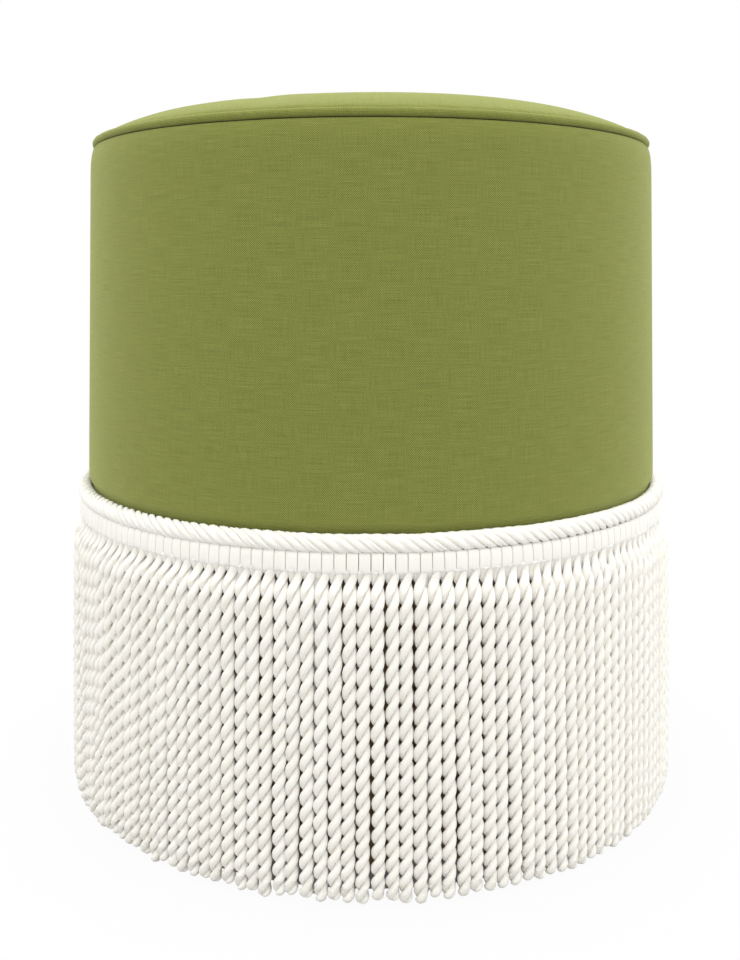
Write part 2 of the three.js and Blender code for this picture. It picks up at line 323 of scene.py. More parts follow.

# %% [markdown]
# ## Cotton
#
# Cord, heading and ropes are one ivory cotton. Its yarns run nearly straight down a rope, because
# the twist of the ply cancels the twist of the rope. They are too fine to model, so a noise drawn
# out along the rope paints them. Two attributes come with the mesh: tone, which differs from rope to
# rope and from rib to rib, and crease, which is 1 where two plies or two ribs meet. There the cotton
# is painted darker, as shade in the crease.

# %% Cotton
cotton_colour = colour(247, 245, 239)
# cotton_shade is the darker cotton: for yarn streaks, spots and tone, and for painted shade in creases.
cotton_shade = colour(233, 229, 219)
yarn_width = 0.45 * MM
yarn_streak = 7 * MM
yarn_relief = 0.16 * MM
spot_cells = (9 * MM, 9 * MM, 14 * MM)


def cotton(name, from_uv):
    finish = Finish(name, 0.88, **{
        "Specular IOR Level": 0.3,
        "Sheen Weight": 0.3,
        "Sheen Roughness": 0.5,
        "Subsurface Weight": 0.3,
        "Subsurface Radius": (1, 0.9, 0.75),
        "Subsurface Scale": 1.5 * MM,
    })
    tone = finish.node("Attribute", {"attribute_name": "tone"}, output="Fac")
    crease = finish.node("Attribute", {"attribute_name": "crease"}, output="Fac")
    if from_uv:
        place, cells = finish.cloth_place(), (yarn_streak, yarn_width, 1)
    else:
        place, cells = finish.solid_place(), (yarn_width, yarn_width, yarn_streak)
    streak = finish.noise(place, cells, detail=3, roughness=0.6)
    spots = finish.noise(finish.solid_place(), spot_cells)
    # Streaks, spots and tone are the cotton's own; the crease term is painted shade where plies or ribs
    # meet.
    shade = 0.1 + (streak - 0.5) * 0.5 + (spots - 0.5) * 0.4
    shade = finish.clamped(shade + tone * 0.2 + crease * 0.3)
    finish.paint(finish.mix(shade, cotton_colour, cotton_shade))
    finish.relief(streak, yarn_relief)
    return finish.material


rope_cotton = cotton("rope_cotton", from_uv=False)
cord_cotton = cotton("cord_cotton", from_uv=True)
print("cotton for the ropes and for the cord")

# %% [markdown]
# ## Hidden and half hidden finishes
#
# Slivers of a plain brown lining show between the ropes, dark in their shade. Foam, fibre wadding,
# the black cloth under the base, the wood, the screws and the glides are inside or underneath. One
# plain grey would do for this view, but a shared part may be taken apart, so each has its own.

# %% Lining, foam, wadding and dust cloth
def plain_cloth(name, pitch, dark, light):
    finish = Finish(name, 0.95, **{"Specular IOR Level": 0.2})
    place = finish.solid_place()
    x, y, z = finish.split(place)
    grain = finish.waves(x + y, 2 * pitch) * finish.waves(z + y * 0.5, 2 * pitch)
    fuzz = finish.noise(place, (3 * MM, 3 * MM, 3 * MM), detail=4)
    finish.paint(finish.mix(finish.clamped(fuzz * 0.7 + grain * 0.2), dark, light))
    finish.relief(0.5 + grain * 0.5, 0.1 * MM)
    return finish.material


def foam_finish():
    finish = Finish("foam", 0.95, **{"Specular IOR Level": 0.2})
    place = finish.stretched(finish.solid_place(), (1.6 * MM, 1.6 * MM, 1.6 * MM))
    cells = finish.node("TexVoronoi", values={"Vector": place, "Scale": 1})
    finish.paint(finish.mix(finish.clamped(cells), colour(238, 226, 180), colour(248, 242, 212)))
    finish.relief(cells, 0.5 * MM)
    return finish.material


def wadding_finish():
    finish = Finish("wadding", 1.0, **{"Sheen Weight": 0.4})
    place = finish.solid_place()
    fibre = finish.noise(place, (1.2 * MM, 6 * MM, 1.2 * MM), detail=5)
    loft = finish.noise(place, (18 * MM, 18 * MM, 18 * MM))
    shade = finish.clamped(fibre * 0.6 + loft * 0.5)
    finish.paint(finish.mix(shade, colour(226, 225, 218), colour(250, 249, 246)))
    finish.relief(fibre, 0.6 * MM)
    return finish.material


lining_cloth = plain_cloth("lining_cloth", 0.4 * MM, colour(166, 137, 103), colour(192, 163, 126))
base_cloth = plain_cloth("base_cloth", 0.5 * MM, colour(24, 23, 21), colour(43, 41, 38))
foam_surface = foam_finish()
wadding_surface = wadding_finish()
for made in (lining_cloth, base_cloth, foam_surface, wadding_surface):
    print(made.name, "has", len(made.node_tree.nodes), "nodes")


# %% Wood, steel and plastic
ring_pitch = 5 * MM
ring_bend = 14


def plywood(name, pale, dark, layer):
    """Veneers show as layers through the thickness, and as long grain on the faces."""
    finish = Finish(name, 0.7)
    place = finish.solid_place()
    _, _, height = finish.split(place)
    grain = finish.noise(place, (60 * MM, 2.5 * MM, 40 * MM), detail=5)
    veneer = finish.clamped(finish.waves(height, 2 * layer) * 4)
    finish.paint(finish.mix(finish.clamped(grain * 0.8 + veneer * 0.25), pale, dark))
    finish.relief(grain, 0.15 * MM)
    return finish.material


def softwood():
    finish = Finish("softwood", 0.65)
    place = finish.solid_place()
    bend = finish.noise(place, (30 * MM, 30 * MM, 200 * MM)) * ring_bend
    x, y, _ = finish.split(place)
    rings = finish.math("SINE", (x + y) * (TURN / ring_pitch) + bend) * 0.5 + 0.5
    pores = finish.noise(place, (0.8 * MM, 0.8 * MM, 30 * MM), detail=3)
    shade = finish.clamped(rings * 0.6 + pores * 0.4)
    finish.paint(finish.mix(shade, colour(226, 199, 150), colour(196, 158, 104)))
    finish.relief(pores, 0.15 * MM)
    return finish.material


def screw_steel():
    finish = Finish("screw_steel", 0.35, Metallic=1.0)
    place = finish.solid_place()
    haze = finish.noise(place, (4 * MM, 4 * MM, 1 * MM), detail=4)
    finish.paint(finish.mix(haze, colour(170, 168, 160), colour(205, 203, 196)))
    finish.feed(finish.surface, {"Roughness": finish.clamped(0.25 + haze * 0.2)})
    return finish.material


def glide_plastic():
    finish = Finish("glide_plastic", 0.45)
    place = finish.solid_place()
    scuff = finish.noise(place, (6 * MM, 1.5 * MM, 3 * MM), detail=4)
    finish.paint(finish.mix(scuff, colour(50, 43, 36), colour(78, 69, 58)))
    finish.feed(finish.surface, {"Roughness": finish.clamped(0.35 + scuff * 0.25)})
    finish.relief(scuff, 0.05 * MM)
    return finish.material


node_finishes = {
    "board": plywood("plywood", colour(214, 182, 132), colour(184, 146, 96), 1.5 * MM),
    "side_skin": plywood("bending_ply", colour(196, 160, 112), colour(164, 126, 82), 2.5 * MM),
    "post": softwood(),
    "screw": screw_steel(),
    "glide": glide_plastic(),
}
for word, material in node_finishes.items():
    painted = [node for name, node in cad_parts.items() if word in name]
    for node in painted:
        node.data.materials.clear()
        node.data.materials.append(material)
    print(material.name, "on", len(painted), "solids")

# %% [markdown]
# ## Tools for round, stacked forms
#
# Most soft pieces here are turned round the axis of the stool or stacked up from one section. Spin
# could turn the first kind, but one way serves both: they start from a circle, whose edge is
# extruded from ring to ring and scaled to each ring's size.

# %% Selecting, applying and finishing
round_points = 128
merge_gap = 0.01 * MM
sharp_angle = math.radians(50)


def only(piece):
    bpy.ops.object.select_all(action="DESELECT")
    piece.select_set(True)
    bpy.context.view_layer.objects.active = piece


def edit_all(piece):
    """Enters edit mode with all of the piece selected."""
    only(piece)
    bpy.ops.object.mode_set(mode="EDIT")
    bpy.ops.mesh.select_all(action="SELECT")


def with_modifier(piece, kind, **settings):
    only(piece)
    modifier = piece.modifiers.new("shape", kind)
    for name, value in settings.items():
        setattr(modifier, name, value)
    bpy.ops.object.modifier_apply(modifier=modifier.name)


def thicken(piece, thickness):
    """Gives a skin its thickness, on the inner side."""
    with_modifier(piece, "SOLIDIFY", thickness=thickness, offset=-1)


def start_circle(name, radius, height, points, fill="NOTHING"):
    """A new circle round the Z axis, left open in edit mode with all of it selected."""
    bpy.ops.object.select_all(action="DESELECT")
    bpy.ops.mesh.primitive_circle_add(
        vertices=points, radius=radius, fill_type=fill, enter_editmode=True)
    bpy.context.object.name = name
    bpy.ops.transform.translate(value=(0, 0, height))
    return bpy.context.object


def next_ring(rise, share_x, share_y):
    """Extrudes the selected edge upwards and scales it about the Z axis."""
    bpy.ops.mesh.extrude_edges_move(TRANSFORM_OT_translate={"value": (0, 0, rise)})
    bpy.ops.transform.resize(value=(share_x, share_y, 1), center_override=(0, 0, 0))


def stack_rings(rings):
    """Extrudes the selected edge through rings of (height, size in X, size in Y) from the first."""
    (height, size_x, size_y), *rest = rings
    for next_height, next_x, next_y in rest:
        next_ring(next_height - height, next_x / size_x, next_y / size_y)
        height, size_x, size_y = next_height, next_x, next_y


def turned(name, outline):
    """A skin through rings of (radius, height), open at both ends."""
    piece = start_circle(name, *outline[0], round_points)
    stack_rings([(height, radius, radius) for radius, height in outline])
    close_up()
    return piece


def close_up():
    """Merges doubled points, turns the faces outwards and leaves edit mode."""
    bpy.ops.mesh.select_all(action="SELECT")
    bpy.ops.mesh.remove_doubles(threshold=merge_gap)
    bpy.ops.mesh.normals_make_consistent(inside=False)
    bpy.ops.object.mode_set(mode="OBJECT")


def places_of(piece):
    flat = np.empty(len(piece.data.vertices) * 3)
    piece.data.vertices.foreach_get("co", flat)
    return flat.reshape(-1, 3)


def set_places(piece, places):
    piece.data.vertices.foreach_set("co", places.ravel())
    piece.data.update()


def radius_of(places):
    return np.hypot(places[:, 0], places[:, 1])


def set_heights(piece, height_at):
    """Gives each point the height that belongs to its distance from the axis."""
    places = places_of(piece)
    places[:, 2] = height_at(radius_of(places))
    set_places(piece, places)


def set_round(piece, radius, across, angle, height):
    """Puts points at a radius and an angle round the axis, and across from there."""
    set_places(piece, np.stack([
        radius * np.cos(angle) - across * np.sin(angle),
        radius * np.sin(angle) + across * np.cos(angle),
        height], axis=1))


def round_noise(angle, frequency, level):
    """Noise that closes on itself round the axis."""
    return noise.noise((math.cos(angle) * frequency, math.sin(angle) * frequency, level))


def eased(share):
    """A share from 0 to 1 that starts and ends gently."""
    share = np.clip(share, 0, 1)
    return share * share * (3 - 2 * share)


def mark(piece, name, values):
    """A number for each point, which a material reads by its name."""
    attribute = piece.data.attributes.new(name, "FLOAT", "POINT")
    attribute.data.foreach_set("value", np.asarray(values, dtype=np.float32))


def finish_piece(piece, material, slot, *nodes):
    """Smooth faces, one material, and the solids that the piece stands for."""
    piece.data.materials.clear()
    piece.data.materials.append(material)
    only(piece)
    bpy.ops.object.shade_smooth_by_angle(angle=sharp_angle)
    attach(piece, "root")
    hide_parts(*nodes)
    print(piece.name, "has", len(piece.data.polygons), "faces")


def lay_round(piece, radius, measure):
    """Lays the grain of a round piece: metres round the axis, and what measure says of a point."""
    layer = piece.data.uv_layers.new(name="grain")
    for face in piece.data.polygons:
        middle = math.atan2(face.center.x, -face.center.y)
        for loop in face.loop_indices:
            place = piece.data.vertices[piece.data.loops[loop].vertex_index].co
            angle = math.atan2(place.x, -place.y)
            turn = round((middle - angle) / TURN) * TURN
            layer.data[loop].uv = ((angle + turn) * radius, measure(place))


def girth_of(ring_radius, middle, radius):
    """Measures how far round the section of a ring a point is, in metres."""
    def measure(place):
        out = math.hypot(place.x, place.y) - ring_radius
        return math.atan2(place.z - middle, out) * radius
    return measure


# %% [markdown]
# ## Side cloth
#
# One strip of linen goes round the drum and is sewn into a tube at the back. Its top edge rolls in
# under the piping, its foot turns under behind the fringe, and the cord draws it in a little. A
# simulation could lay it there, but a tight cover simply follows its padding. So it is turned from
# the solid's outline, with more points on the roll and in the waist under the cord.

# %% Side cloth
side_top = top_of("side_cover")
side_foot = bottom_of("side_cover")
side_widest = reach_of("side_cover")
rim_radius = welt_ring_radius + welt_radius + 1.3 * MM
rim_tuck = 2.8 * MM
rim_roll = 16 * MM
roll_steps = 5
straight_steps = 8
waist_steps = 5
waist_radius = cord_ring_radius - cord_depth / 2 - seam_gap
waist_run = 4.5 * MM
heading_seat = side_widest - 0.8 * MM
back_seam_depth = 0.9 * MM
back_seam_width = 2.2 * MM


def side_outline():
    """Rings from the rim down: the roll, the straight side, the waist under the cord, the foot."""
    roll = [
        (rim_radius - rim_tuck * (1 - math.sin(turn)), side_top - rim_roll * (1 - math.cos(turn)))
        for turn in (math.pi / 2 * step / roll_steps for step in range(roll_steps + 1))
    ]
    waist_top = cord_middle + cord_height / 2 + waist_run
    straight_run = side_top - rim_roll - waist_top
    straight = [
        (rim_radius + (side_widest - rim_radius) * share, side_top - rim_roll - straight_run * share)
        for share in (step / straight_steps for step in range(1, straight_steps + 1))
    ]
    waist = [
        (side_widest - (side_widest - waist_radius) * (1 - math.cos(math.pi * share)) / 2,
         waist_top - (waist_top - cord_middle - cord_height / 4) * share)
        for share in (step / waist_steps for step in range(1, waist_steps + 1))
    ]
    foot = [
        (waist_radius, cord_middle - cord_height / 4),
        (heading_seat, heading_top),
        (heading_seat, heading_bottom),
        (heading_seat, side_foot),
        (drum_radius, side_foot),
    ]
    return roll + straight + waist + foot


def sew_back(piece):
    """Presses the seam in at the back, where the strip's ends meet."""
    only(piece)
    bpy.ops.object.mode_set(mode="EDIT")
    for offset in (-2, -1, 0, 1, 2):
        bpy.ops.mesh.select_all(action="DESELECT")
        bpy.ops.object.mode_set(mode="OBJECT")
        for face in piece.data.polygons:
            face.select = face.center.y > 0 and abs(face.center.x) < 4 * back_seam_width
        bpy.ops.object.mode_set(mode="EDIT")
        bpy.ops.mesh.bisect(
            plane_co=(offset * back_seam_width / 2, 0, 0), plane_no=(1, 0, 0))
    bpy.ops.object.mode_set(mode="OBJECT")
    places = places_of(piece)
    near = np.clip(1 - np.abs(places[:, 0]) / back_seam_width, 0, 1) * (places[:, 1] > 0)
    places[:, 1] -= back_seam_depth * near ** 1.5
    set_places(piece, places)


def side_cloth():
    piece = turned("side_cloth", side_outline())
    sew_back(piece)
    thicken(piece, cloth_thickness)
    with_modifier(piece, "SUBSURF", levels=1, render_levels=1)
    lay_round(piece, rim_radius, lambda place: place.z)
    finish_piece(piece, side_linen, "linen", "side_cover")
    return piece


side = side_cloth()

# %% [markdown]
# ## Seat cloth
#
# A round of linen is pulled over the domed foam and sewn to the piping. A disc with a square grid
# inside takes the dome better than rings that meet in a point. It is given the height of the dome,
# then let out a little by a cloth simulation, which rounds the cloth between foam and seam. Its
# result hangs on the order of the faces, so that is fixed first. The puckers that a curved seam
# always leaves are pressed in last.

# %% Seat cloth
seat_radius = reach_of("top_cover")
seat_top = top_of("top_cover")
seat_foot = bottom_of("top_cover")
crown_edge = top_of("welt") + 0.9 * MM
crown_power = 6
disc_ring_shares = (0.975, 0.93, 0.87)
pucker_depth = 0.35 * MM
pucker_reach = 16 * MM
pucker_frequency = 26
# How the cloth is let out: the part of its radius that is free, its stiffness, and the push.
free_share = 0.97
cloth_tension = 40
cloth_bending = 2
cloth_pressure = 2
cloth_frames = 20
swell_cap = 1.2 * MM


def crown_height(radius):
    return crown_edge + (seat_top - crown_edge) * (1 - (radius / seat_radius) ** crown_power)


def dome_disc(name, radius):
    """A disc with three rings round a square grid."""
    piece = start_circle(name, radius, 0, round_points)
    stack_rings([(0, share, share) for share in (1, *disc_ring_shares)])
    bpy.ops.mesh.fill_grid(span=round_points // 4)
    close_up()
    return piece


def renumber(piece):
    """Lists the faces by their points, because operators list them in another order each time."""
    def from_lowest(corners):
        first = corners.index(min(corners))
        return corners[first:] + corners[:first]

    faces = sorted(from_lowest(face.vertices[:]) for face in piece.data.polygons)
    places = places_of(piece)
    piece.data.clear_geometry()
    piece.data.from_pydata(places, [], faces)


def let_out(piece):
    """Blows the cloth out a little with its edge held, and limits how far any point moves."""
    renumber(piece)
    before = places_of(piece)
    group = piece.vertex_groups.new(name="held")
    held = np.flatnonzero(radius_of(before) > free_share * seat_radius)
    group.add(held.tolist(), 1, "REPLACE")
    only(piece)
    cloth = piece.modifiers.new("cloth", "CLOTH")
    cloth.settings.vertex_group_mass = group.name
    cloth.settings.effector_weights.gravity = 0
    cloth.settings.use_pressure = True
    cloth.settings.uniform_pressure_force = cloth_pressure
    cloth.settings.tension_stiffness = cloth_tension
    cloth.settings.bending_stiffness = cloth_bending
    scene = bpy.context.scene
    for step in range(1, cloth_frames + 1):
        scene.frame_set(step)
    bpy.ops.object.modifier_apply(modifier=cloth.name)
    scene.frame_set(1)
    moved = places_of(piece) - before
    length = np.linalg.norm(moved, axis=1, keepdims=True)
    moved *= swell_cap / np.maximum(length, swell_cap)
    set_places(piece, before + moved)
    piece.vertex_groups.clear()
    print(piece.name, "let out by up to", round(float(length.max()) / MM, 2), "mm")


def puckers(places):
    """Small gathers along the seam, each with its own width and strength."""
    angle = np.arctan2(places[:, 1], places[:, 0])
    near = np.clip(1 - (seat_radius - radius_of(places)) / pucker_reach, 0, 1) ** 2
    ripple = np.array([round_noise(a, pucker_frequency, level=0.5) for a in angle])
    return pucker_depth * near * ripple


def seat_cloth():
    piece = dome_disc("seat_cloth", seat_radius)
    set_heights(piece, crown_height)
    let_out(piece)
    places = places_of(piece)
    places[:, 2] += puckers(places)
    set_places(piece, places)
    edit_all(piece)
    bpy.ops.mesh.region_to_loop()
    for _ in range(2):
        next_ring((seat_foot - crown_edge) / 2, 1, 1)
    close_up()
    thicken(piece, cloth_thickness)
    with_modifier(piece, "SUBSURF", levels=1, render_levels=1)
    finish_piece(piece, seat_linen, "linen", "top_cover")
    return piece


seat = seat_cloth()

# %% [markdown]
# ## Piping
#
# A strip of the same linen, cut on the bias, is wrapped round a cotton filler and sewn between seat
# and side. A curve with a round bevel would make it too, but a torus is closed from the start. Hand
# sewing never keeps it perfectly even, so its thickness wanders by a tenth of a millimetre or two.

# %% Piping
piping_wander = 0.18 * MM
piping_frequency = 14
piping_frequency_up = 90


def rim_piping():
    bpy.ops.object.select_all(action="DESELECT")
    bpy.ops.mesh.primitive_torus_add(
        major_segments=288, minor_segments=16,
        major_radius=welt_ring_radius, minor_radius=welt_radius)
    piece = bpy.context.object
    piece.name = "rim_piping"
    places = places_of(piece)
    angle = np.arctan2(places[:, 1], places[:, 0])
    rise = places[:, 2]
    swell = np.array([
        round_noise(a, piping_frequency, z * piping_frequency_up) for a, z in zip(angle, rise)])
    share = 1 + swell * piping_wander / welt_radius
    radius = welt_ring_radius + (radius_of(places) - welt_ring_radius) * share
    set_round(piece, radius, 0, angle, rise * share + welt_height)
    lay_round(piece, welt_ring_radius, girth_of(welt_ring_radius, welt_height, welt_radius))
    finish_piece(piece, piping_linen, "linen", "welt")
    return piece


piping = rim_piping()

# %% [markdown]
# ## Twisted cord
#
# Five plies are laid round each other, one full turn in about 33 mm, and the cord is sewn on over
# the heading of the fringe. Five separate tubes would cut into each other where they are pressed
# together, so the cord is one bar with a lobed section. A short slice of it is repeated with an
# Array and twisted by Simple Deform, and the bar is then wrapped round the drum and its ends joined.
# Hand sewing lets it wander up and down a little.

# %% Twisted cord
cord_plies = 5
cord_turns = 37
slices_per_turn = 18
cord_slices = slices_per_turn * cord_turns
cord_lie_radius = cord_ring_radius + 0.3 * MM
cord_length = TURN * cord_lie_radius
cord_fullness = 0.5 * MM
cord_sag = 0.8 * MM
cord_squareness = 2.6
cord_wander = 0.35 * MM
cord_wander_frequency = 6
# One ply from groove to groove: how far round it, and how far out.
ply_shares = ((0, 0.68), (0.08, 0.83), (0.24, 0.955), (0.5, 1), (0.76, 0.955), (0.92, 0.83))


def lobed_section(lobe, count):
    """The outline of a section with a lobe for each ply, as turns and radii, from a groove on."""
    return [((number + turn) / count, radius) for number in range(count) for turn, radius in lobe]


def shape_section(piece, section):
    """Moves the points of a circle to a section's own turns and radii, and marks the grooves."""
    bpy.ops.object.mode_set(mode="OBJECT")
    places = places_of(piece)
    circle = radius_of(places)
    turn = np.arctan2(places[:, 1], places[:, 0]) / TURN
    order = np.round(turn * len(section)).astype(int) % len(section)
    turns, radii = np.array(section)[order].T
    places[:, 0] = circle * radii * np.cos(TURN * turns)
    places[:, 1] = circle * radii * np.sin(TURN * turns)
    set_places(piece, places)
    # The grooves are marked, so that the cotton is painted darker there as shade in the crease.
    mark(piece, "crease", np.isclose(radii, radii.min()))
    edit_all(piece)


def wrap_round(piece):
    """Bends the bar, one unit in radius, into the ring, with a section between oval and box."""
    places = places_of(piece)
    x, y, along = places.T
    power = cord_squareness
    square = radius_of(places) / (np.abs(x) ** power + np.abs(y) ** power) ** (1 / power)
    angle = along / cord_lie_radius + math.pi / 2
    radius = cord_lie_radius + x * square * (cord_depth / 2 + cord_fullness)
    rise = -y * square * (cord_height / 2 + cord_fullness)
    wander = [cord_wander * round_noise(a, cord_wander_frequency, level=1.7) for a in angle]
    set_round(piece, radius, 0, angle, cord_middle - cord_sag + rise + wander)


def twisted_cord():
    section = lobed_section(ply_shares, cord_plies)
    piece = start_circle("twisted_cord", 1, 0, len(section))
    shape_section(piece, section)
    next_ring(cord_length / cord_slices, 1, 1)
    bpy.ops.object.mode_set(mode="OBJECT")
    with_modifier(
        piece, "ARRAY", count=cord_slices, use_relative_offset=False, use_constant_offset=True,
        constant_offset_displace=(0, 0, cord_length / cord_slices),
        use_merge_vertices=True, merge_threshold=merge_gap)
    with_modifier(
        piece, "SIMPLE_DEFORM", deform_method="TWIST", deform_axis="Z",
        angle=TURN * cord_turns)
    wrap_round(piece)
    edit_all(piece)
    close_up()
    lay_round(piece, cord_ring_radius, girth_of(cord_ring_radius, cord_middle, cord_depth / 2))
    finish_piece(piece, cord_cotton, "cotton_cord", "fringe_cord")
    return piece


cord = twisted_cord()

# %% [markdown]
# ## One rope
#
# A rope is two plies laid right-handed, so its grooves climb to the right. The section shows the
# two plies side by side, with a deep crease between them on each side. It is stacked up straight,
# and Simple Deform then twists it by the mean pitch. At its foot the yarn turns back on itself in a
# round bulb, so the creases fill out there. Each ring has only sixteen points, because there are
# nearly two hundred ropes.

# %% One rope
rope_pitch = 18.7 * MM
rope_width = 7.9 * MM
rope_step = 1.5 * MM
root_rise = 2.2 * MM
root_end_share = 0.55
rope_length = heading_bottom - hem + root_rise
rope_turn = TURN * rope_length / rope_pitch
bulb_radius = 3.8 * MM
bulb_shares = (0.04, 0.16, 0.36, 0.64, 1)
neck_height = 6 * MM
neck_share = 0.98
shaft_start = 9 * MM
bulb_crease_share = 0.5
# A quarter of the section, from the crown of a ply to the crease: how far round, and how far out.
quarter_shares = ((0, 1), (0.31, 0.975), (0.6, 0.85), (0.84, 0.54), (1, 0.22))


def two_ply_section():
    """The outline of two plies pressed together, as turns and radii."""
    there = [(turn / 4, radius) for turn, radius in quarter_shares]
    back = [(1 / 2 - turn, radius) for turn, radius in reversed(there[1:-1])]
    half = there + back
    return half + [(turn + 1 / 2, radius) for turn, radius in half]


def rope_rings():
    """Heights and widths up the rope: bulb, neck and even shaft, drawn in at the very top."""
    widest = bulb_radius / (rope_width / 2)
    bulb = [
        (bulb_radius * share, widest * math.sqrt(1 - (1 - share) ** 2)) for share in bulb_shares]
    count = round((rope_length - shaft_start) / rope_step)
    rise = (rope_length - shaft_start) / count
    shaft = [(shaft_start + rise * k, 1) for k in range(count)]
    return bulb + [(neck_height, neck_share)] + shaft + [(rope_length, root_end_share)]


def fill_bulb(piece):
    """Fills most of the crease out at the bulb, and less of it further up."""
    places = places_of(piece)
    heights, shares = zip(*rope_rings())
    round_radius = rope_width / 2 * np.interp(places[:, 2], heights, shares)
    rise = eased(places[:, 2] / shaft_start)
    kept = bulb_crease_share + (1 - bulb_crease_share) * rise
    places[:, :2] *= (kept + (1 - kept) * round_radius / radius_of(places))[:, None]
    set_places(piece, places)


def straight_rope():
    rings = [(height, share, share) for height, share in rope_rings()]
    height, share, _ = rings[0]
    section = two_ply_section()
    piece = start_circle("rope", rope_width / 2, height, len(section))
    bpy.ops.transform.resize(value=(share, share, 1), center_override=(0, 0, 0))
    shape_section(piece, section)
    bpy.ops.mesh.edge_face_add()
    stack_rings(rings)
    bpy.ops.mesh.edge_face_add()
    close_up()
    fill_bulb(piece)
    with_modifier(
        piece, "SIMPLE_DEFORM", deform_method="TWIST", deform_axis="Z", angle=rope_turn)
    return piece


rope = straight_rope()
print("rope has", len(rope.data.polygons), "faces")

# %% [markdown]
# ## The fringe
#
# The heading is a band of upright ribs, one for each rope. The ropes swell out from under it and
# need more room than their ribs, so one in eight slips behind the others. The twist is loose at
# the heading and tighter towards the hem. No two ropes hang quite alike, so each is a copy with its
# own mesh, and code gives it a length, a twist and a lean of its own. Neighbours drift together.

# %% A rib of the heading
section_count = sum(name.startswith("fringe_") and name[-1].isdigit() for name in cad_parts)
section_angle = TURN / section_count
ropes_per_section = 16
back_places = (4, 11)
rib_inner = heading_seat + seam_gap
rib_outer = skirt_reach - 4.6 * MM
rib_width = TURN * rib_outer / (section_count * ropes_per_section)
rib_gap = 0.4 * MM
# Half of a rib's section, from the middle of its face round to its back: out and across.
rib_face_shares = ((1, 0.74), (0.96, 0.92), (0.88, 1), (-1, 1))
# Points less far out than this share lie beside a rib's face, and get painted shade between the ribs.
rib_face_start = 0.9
# Each ring of a rib: its place up the heading, and its depth and width.
rib_ring_shares = (
    (0, 0.86, 0.99), (0.03, 0.94, 1), (0.09, 0.98, 1), (0.2, 1, 1),
    (0.5, 1, 1), (0.7, 0.96, 1), (0.8, 0.88, 1), (0.9, 0.72, 1), (0.97, 0.5, 1), (0.98, 0.3, 0.99),
    (0.9, 0.2, 0.97))


def heading_rib():
    """One rib, upright at the origin: across is Y and out is X."""
    mirrored = [(out, -across) for out, across in reversed(rib_face_shares)]
    section = [*rib_face_shares, *mirrored]
    piece = start_circle("rib", 1, 0, len(section))
    bpy.ops.object.mode_set(mode="OBJECT")
    places = places_of(piece)
    order = np.argsort(np.arctan2(places[:, 1], places[:, 0]) % TURN)
    places[order, :2] = section
    places[:, 0] *= (rib_outer - rib_inner) / 2
    places[:, 1] *= (rib_width - rib_gap) / 2
    set_places(piece, places)
    # Points beside a rib's face are marked for painted shade between the ribs.
    mark(piece, "crease", places[:, 0] < places[:, 0].max() * rib_face_start)
    edit_all(piece)
    rings = [
        (heading_bottom + place * heading_height, depth, width)
        for place, depth, width in rib_ring_shares]
    height, depth, width = rings[0]
    bpy.ops.transform.resize(value=(depth, width, 1), center_override=(0, 0, 0))
    bpy.ops.transform.translate(value=(0, 0, height))
    bpy.ops.mesh.edge_face_add()
    stack_rings(rings)
    bpy.ops.mesh.edge_face_add()
    close_up()
    return piece


rib = heading_rib()
print("rib has", len(rib.data.polygons), "faces and is", round(rib_width / MM, 2), "mm wide")


# %% Hanging the ropes
rng = random.Random(7)
front_radius = skirt_reach - 4.2 * MM
back_radius = front_radius - 6.4 * MM
front_root = rib_outer - 1.8 * MM
back_root = rib_inner + 1.6 * MM
pinch_in = 1.4 * MM
pinch_drop = 12 * MM
swell_start = 4 * MM
swell_run = 16 * MM
root_depth_share = 0.7
root_depth_run = 14 * MM
root_width_share = 1.14
root_width_run = 8 * MM
back_share = 0.86
first_waist = 6.2 * MM
# The twist is slower than the mean by this share at the heading, and faster by it at the hem.
tightening_share = 0.186
# How far ropes differ: in length, thickness and bow, in turn at top and hem, and in place.
length_range = (0.994, 1.013)
thickness_range = (0.97, 1.02)
bow_range = (-0.5 * MM, 0.7 * MM)
top_turn_spread = 0.3
hem_turn_spread = 1.3
drift_frequency = 2
drift_at_hem = 4 * MM
lean_at_hem = 0.5 * MM
sway = 0.3 * MM


def copy_of(piece, name):
    """A copy with its own mesh."""
    made = piece.copy()
    made.data = piece.data.copy()
    made.name = name
    bpy.context.scene.collection.objects.link(made)
    return made


def lag(down):
    """How far the twist has fallen behind an even one, part of the way down a rope."""
    return rope_turn * tightening_share * down * (1 - down)


